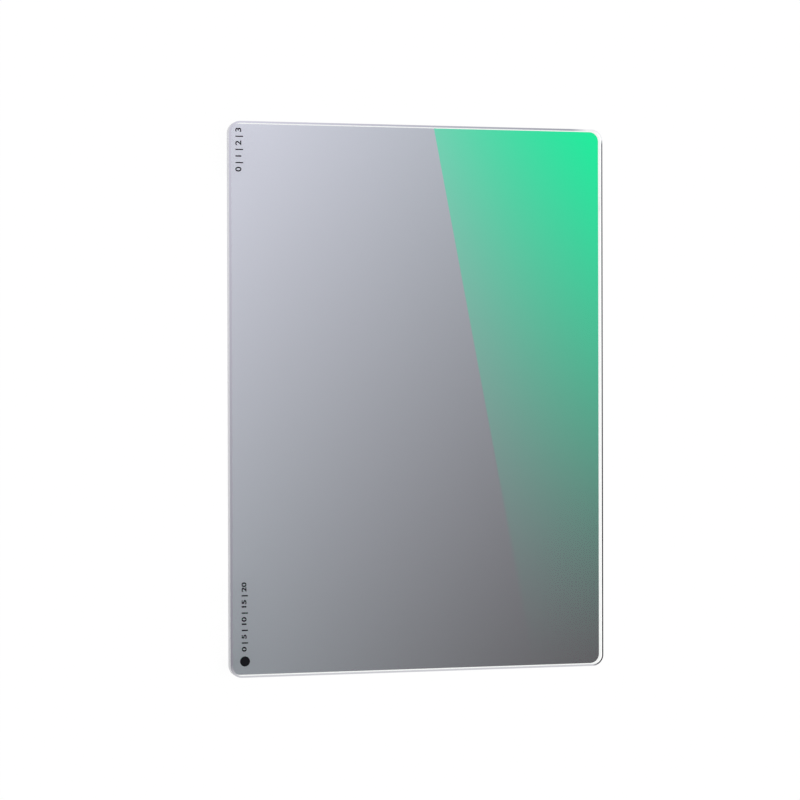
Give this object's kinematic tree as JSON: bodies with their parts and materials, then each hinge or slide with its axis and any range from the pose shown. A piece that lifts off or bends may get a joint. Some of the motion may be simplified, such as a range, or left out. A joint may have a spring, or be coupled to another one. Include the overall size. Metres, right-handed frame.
{
  "type": "rectangular uv filter plate",
  "caption": "Flat rectangular glass filter plate with rounded corners and bevelled, polished edges, coated on both faces, for a camera matte box tray.",
  "frame": {"origin": "middle of the back face, which is the face it lies on", "axes": "+X across the plate to the right as seen from the front, +Y along the plate's length towards its top, +Z out of the front face"},
  "size_m": [0.1016, 0.1436, 0.004],
  "materials": {
    "coated_glass": "polished clear glass with a vapour-deposited antireflection coating on both faces, grey with a green sheen, and bare clear bevels and edges"
  },
  "bodies": {
    "root": {"glass_plate": "coated_glass"}
  },
  "joints": []
}
